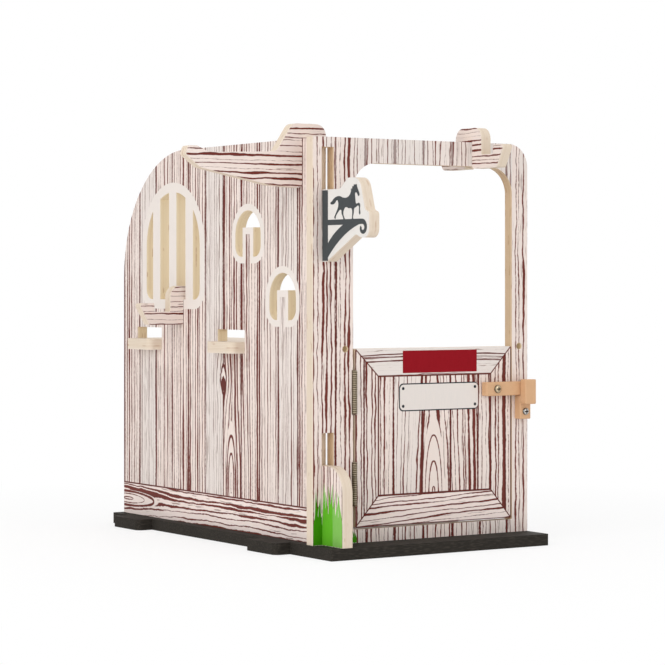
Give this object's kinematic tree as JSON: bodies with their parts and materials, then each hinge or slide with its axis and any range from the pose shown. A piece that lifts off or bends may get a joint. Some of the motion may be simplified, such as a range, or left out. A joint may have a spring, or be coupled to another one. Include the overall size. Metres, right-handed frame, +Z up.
{
  "type": "toy stable",
  "caption": "Flat-pack wooden toy stable: floor board, printed front panel with a hinged half door and latch, and a side wall with a barred window, hooks and a saddle rack.",
  "frame": {"origin": "centre of the floor board's underside", "axes": "+Z up, the front with the half door faces -Y, +X to the right seen from the front"},
  "size_m": [0.3944, 0.507, 0.437],
  "materials": {
    "black_stained_wood": "matt black stain",
    "printed_ply": "satin whitewashed wood print",
    "bare_ply": "bare sanded plywood",
    "beech": "satin oiled beech",
    "bright_screw": "bright plated steel",
    "aged_brass": "dulled brass"
  },
  "bodies": {
    "stable": {"floor_board": "black_stained_wood", "front_panel": "printed_ply", "side_wall": "printed_ply", "feed_shelf": "bare_ply", "lower_hinge_post_leaf": "aged_brass", "upper_hinge_post_leaf": "aged_brass", "lower_hinge_pin": "aged_brass", "upper_hinge_pin": "aged_brass", "post_leaf_screws": "aged_brass", "keeper_block": "beech", "keeper_lip": "beech", "keeper_screw": "bright_screw"},
    "door": {"half_door": "printed_ply", "lower_hinge_door_leaf": "aged_brass", "upper_hinge_door_leaf": "aged_brass", "door_leaf_screws": "aged_brass", "latch_screw": "bright_screw"},
    "latch": {"latch_bar": "beech"},
    "rack": {"saddle_rack": "printed_ply"},
    "rail_hook": {"front_hook": "printed_ply"},
    "sill_hook": {"window_hook": "printed_ply"}
  },
  "joints": [
    {"name": "door_swing", "type": "hinge", "parent": "stable", "child": "door", "pos_m": [-0.0847, -0.194, 0.118], "axis": [0, 0, -1], "range_deg": [0, 115]},
    {"name": "latch_turn", "type": "hinge", "parent": "door", "child": "latch", "pos_m": [0.0895, -0.198, 0.164], "axis": [0, -1, 0], "range_deg": [0, 180]},
    {"name": "rack_lift", "type": "slide", "parent": "stable", "child": "rack", "axis": [0, 0, 1], "range_m": [0, 0.06]},
    {"name": "rail_hook_slide", "type": "slide", "parent": "stable", "child": "rail_hook", "axis": [1, 0, 0], "range_m": [-0.13, 0.03]},
    {"name": "sill_hook_lift", "type": "slide", "parent": "stable", "child": "sill_hook", "axis": [0, 0, 1], "range_m": [0, 0.045]}
  ]
}
